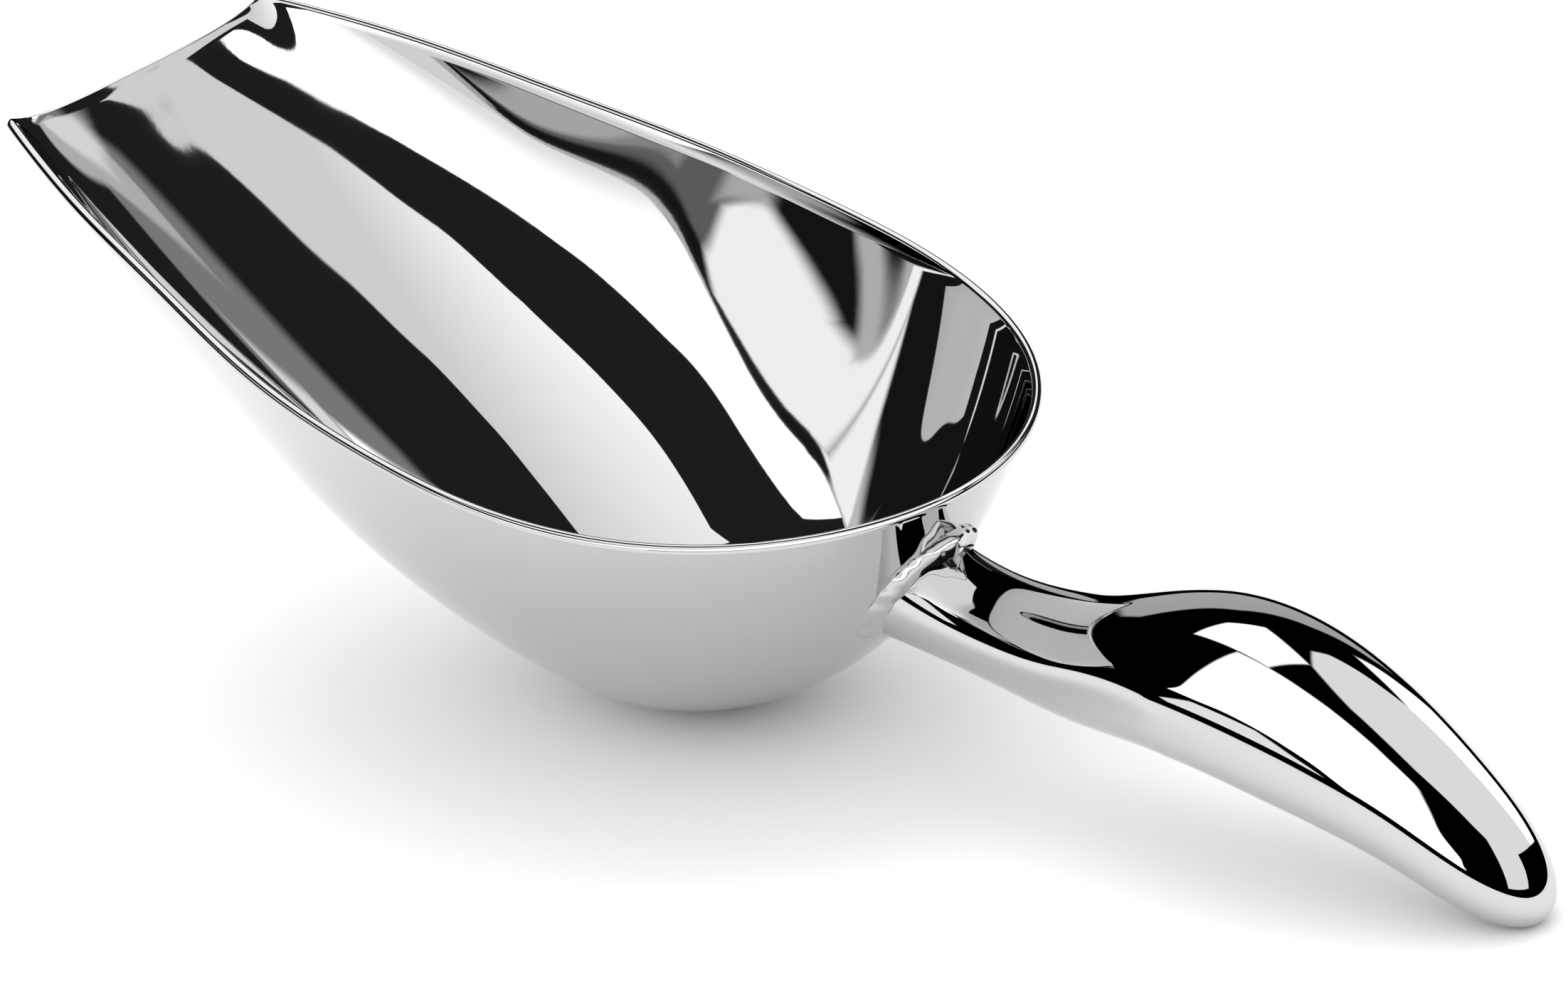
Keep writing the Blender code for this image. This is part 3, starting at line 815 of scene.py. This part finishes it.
# the edges of the cards over the mouth: (X stations, Y values) of the far edge, (Y, X) of the side edge
# and (X, Y) of the near edge
UPPER_CARD = (
    (
        (-1.2, -1.07, -0.55, -0.08, 0.32, 0.69, 1.04, 1.36, 1.98),
        (1.295, 1.187, 0.795, 0.616, 0.535, 0.466, 0.365, 0.236, -0.047),
    ),
    ((-0.98, -0.8, -0.69, -0.45, -0.2, -0.1, -0.05), (0.95, 1.16, 1.445, 1.693, 1.918, 1.99, 1.98)),
)
GREY_PANEL = (
    (
        (-1.18, -0.85, -0.55, -0.28, 0.2, 0.57, 0.8, 0.86),
        (1.26, 0.887, 0.69, 0.603, 0.507, 0.379, 0.251, 0.196),
    ),
    ((-0.36, -0.22, -0.03, 0.06, 0.14, 0.2), (0.591, 0.77, 0.861, 0.879, 0.873, 0.855)),
    ((-0.4, -0.18, 0.0, 0.15, 0.33, 0.57, 0.7), (0.12, 0.09, 0.03, -0.05, -0.21, -0.43, -0.56)),
)
LOWER_CARD = (
    (
        (-1.17, -0.99, -0.9, -0.84, -0.76, -0.57, -0.39, -0.24, -0.19),
        (1.17, 0.885, 0.7, 0.606, 0.55, 0.503, 0.444, 0.363, 0.31),
    ),
    ((0.13, 0.19, 0.25, 0.31, 0.36), (-0.18, -0.172, -0.175, -0.192, -0.237)),
)
bowl_panels = [
    # the big white softbox over the rear, its far part falling off
    (
        [
            ((-1.25, 1.4), (-1.1, 0.5), (0.2, -1.6), (0.8, -1.6), (2.0, -0.85), (2.0, 6.0), (-1.25, 6.0)),
            ((0.7, -1.08), (12, -1.08), (12, 6), (0.0, 6.0)),
        ],
        WHITE_BOX,
        0.02,
    ),
    ([((2.4, -1.3), (12, -1.3), (12, -5.0), (3.0, -1.9))], 0.6, 0.2),
    ([((4.6, -9.0), (4.6, 9.0), (20, 9.0), (20, -9.0))], 1.3, 1.4),
    (UPPER_CARD, BLACK_CARD, CARD_SOFTNESS),
    (GREY_PANEL, (1.08, 1.6), CARD_SOFTNESS),
    (LOWER_CARD, BLACK_CARD, 1.5 * CARD_SOFTNESS),
    # dim light low down past the near side of the mouth and of the bowl
    (
        [
            ((-1.28, 0.95), (-1.1, 0.7), (-0.98, 0.47), (-0.9, 0.3), (-0.9, 0.22), (-1.6, 0.2),
             (-1.6, 0.95)),
        ],
        0.32,
        0.05,
    ),
    (
        [
            ((-1.22, 1.2), (-1.27, 0.9), (-1.35, 0.5), (-2.6, 0.12), (-2.6, 0.4), (-1.3, 1.3)),
            ((-1.27, 0.86), (-1.2, 0.72), (-1.13, 0.55), (-1.11, 0.45), (-1.6, 0.45), (-1.6, 0.78)),
        ],
        0.72,
        0.02,
    ),
    # light for the rolled rim
    ([((-1.5, -0.5), (-0.7, -0.33), (0.2, -0.33), (0.25, -1.15), (-1.5, -1.15))], 1.5, 0.04),
    # lights that are seen in the far and rear walls by way of the near wall
    (
        [
            ((-0.64, 0.13), (-0.88, 0.22), (-1.25, 0.24), (-1.33, 0.12), (-1.16, -0.01), (-1.0, -0.12),
             (-0.72, -0.12)),
            ((-1.02, -0.08), (-0.8, -0.38), (-0.68, -0.1), (-0.7, 0.0), (-0.95, 0.05)),
            ((-0.8, -0.38), (-0.55, -0.55), (-0.5, -0.4), (-0.72, -0.2)),
        ],
        2.7,
        0.03,
    ),
    ([((-1.4, -0.11), (-0.9, -0.2), (-0.88, -0.26), (-1.4, -0.2))], 1.3, 0.02),
    ([((-1.28, 0.28), (-1.3, 0.1), (-1.5, 0.12), (-1.5, 0.28))], 1.2, 0.04),
    (
        [((-1.3, 0.56), (-1.2, 0.72), (-1.22, 0.95), (-1.28, 1.25), (-1.5, 1.6), (-3, 1.5), (-3, 0.55))],
        1.15,
        0.06,
    ),
]
softboxes("bowl_softboxes", 0.0, bowl_panels, [bowl, weld])
add_area("low_softbox", (10.0, -1.0, 0.8), (0, -1.0, 0.8), (9.0, 1.4), 1.1, [bowl, weld])

# the big white softbox over the handle's tip: its far, side and near edges, and an outline round it all
TIP_PANEL = (
    ((-0.2, 0.06, 0.5, 1.1, 2.0, 3.2, 6.0), (0.48, 0.56, 0.69, 0.86, 1.3, 1.75, 2.9)),
    ((-1.4, -0.9, -0.6, -0.4, -0.2, -0.05, 0.05, 0.3), (1.8, 1.92, 1.87, 1.93, 2.1, 2.45, 3.0, 7.0)),
    ((-0.3, 0.2, 0.6, 1.0, 1.4, 1.8), (-0.27, -0.36, -0.51, -0.72, -1.0, -1.4)),
    (
        (-0.22, -0.3), (-0.17, 0.0), (-0.13, 0.18), (-0.05, 0.37), (0.07, 0.55), (0.25, 0.66),
        (9, 6), (9, -3), (-0.15, -3),
    ),
)
handle_panels = [
    # the grey softbox that is seen all along the hump's far side
    (
        [
            ((-0.6, -0.05), (-0.35, 0.2), (-0.21, 0.5), (-0.2, 0.8), (-0.24, 1.0), (-1, 1.3), (-3.2, 1.3),
             (-1.5, 0.0), (-1.1, -0.2), (-0.9, -0.2)),
            ((-0.25, 0.9), (-0.05, 1.2), (2, 4.4), (-1, 4.4), (-1.05, 1.9), (-1.0, 1.2)),
        ],
        GREY_BOX,
        0.012,
    ),
    ([((2.3, -0.35), (3.0, -0.25), (9, -0.1), (9, -6), (5, -4), (2.4, -1.3))], 1.3, 0.05),
    (TIP_PANEL, WHITE_BOX, 0.012),
    ([((-0.6, -0.07), (-0.2, -0.1), (-0.33, -0.65), (-0.75, -0.65), (-0.93, -0.5))], WHITE_BOX, 0.012),
    ([((-1.55, 0.05), (-1.9, 0.5), (-3.0, 1.3), (-9, 1.4), (-9, -1.9), (-2.0, -0.45))], WHITE_BOX, 0.03),
    # low grey light along the handle's far side
    (
        [
            ((-1.35, -1.0), (-0.95, -1.75), (-1.1, -2.1), (-5.0, -5.9), (-6.6, -6.6), (-6.6, -2.0),
             (-4.0, -1.2), (-2.2, -0.9)),
        ],
        0.56,
        0.05,
    ),
]
softboxes("handle_softboxes", 0.0, handle_panels, handle_pieces)
add_area("floor_softbox", (-0.5, -0.55, 1.6), (0, 0, 0), (1.4, 1.4), 1.3, [floor])

# ---------------------------------------------------------------- camera and room
CAMERA_AZIMUTH = math.radians(137.2)
CAMERA_ELEVATION = math.radians(26.3)
CAMERA_ROLL = math.radians(-7.5)
CAMERA_DISTANCE = 1153.7 * MM
CAMERA_TARGET = Vector((0, 90 * MM, 25 * MM))
CAMERA_LENS = 185.63
CAMERA_SENSOR = 36.0
CAMERA_SHIFT = (0.1076, 0.0095)
CAMERA_CLIP = 50


def add_camera():
    """The camera is set in the bowl's frame and then moved with it."""
    sa, ca = math.sin(CAMERA_AZIMUTH), math.cos(CAMERA_AZIMUTH)
    se, ce = math.sin(CAMERA_ELEVATION), math.cos(CAMERA_ELEVATION)
    away = Vector((sa * ce, -ca * ce, se))
    forward = -away
    level = forward.cross(Vector((0, 0, 1))).normalized()
    up = level.cross(forward)
    right = level * math.cos(CAMERA_ROLL) + up * math.sin(CAMERA_ROLL)
    upright = -level * math.sin(CAMERA_ROLL) + up * math.cos(CAMERA_ROLL)
    rotation = Matrix((right, upright, away)).transposed().to_4x4()
    pose = Matrix.Translation(CAMERA_TARGET + away * CAMERA_DISTANCE) @ rotation
    data = bpy.data.cameras.new("camera")
    data.sensor_width = CAMERA_SENSOR
    data.lens = CAMERA_LENS
    data.shift_x, data.shift_y = CAMERA_SHIFT
    data.clip_end = CAMERA_CLIP
    camera = bpy.data.objects.new("camera", data)
    bpy.context.scene.collection.objects.link(camera)
    camera.matrix_world = STANDING @ pose
    bpy.context.scene.camera = camera


add_camera()

# the room is white to the camera and lights the floor evenly, but isn't seen in the steel
world = bpy.data.worlds.new("studio")
bpy.context.scene.world = world
world.use_nodes = True
world_nodes = world.node_tree.nodes
world_links = world.node_tree.links
background = world_nodes["Background"]
background.inputs["Color"].default_value = (1, 1, 1, 1)
paths = world_nodes.new("ShaderNodeLightPath")
strength = world_nodes.new("ShaderNodeMath")
strength.operation = "MULTIPLY_ADD"
strength.inputs[1].default_value = AMBIENT
world_links.new(paths.outputs["Is Diffuse Ray"], strength.inputs[0])
world_links.new(paths.outputs["Is Camera Ray"], strength.inputs[2])
world_links.new(strength.outputs[0], background.inputs["Strength"])

view = bpy.context.scene.view_settings
view.view_transform = "Standard"
view.look = "None"
view.exposure = 0.0

low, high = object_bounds()
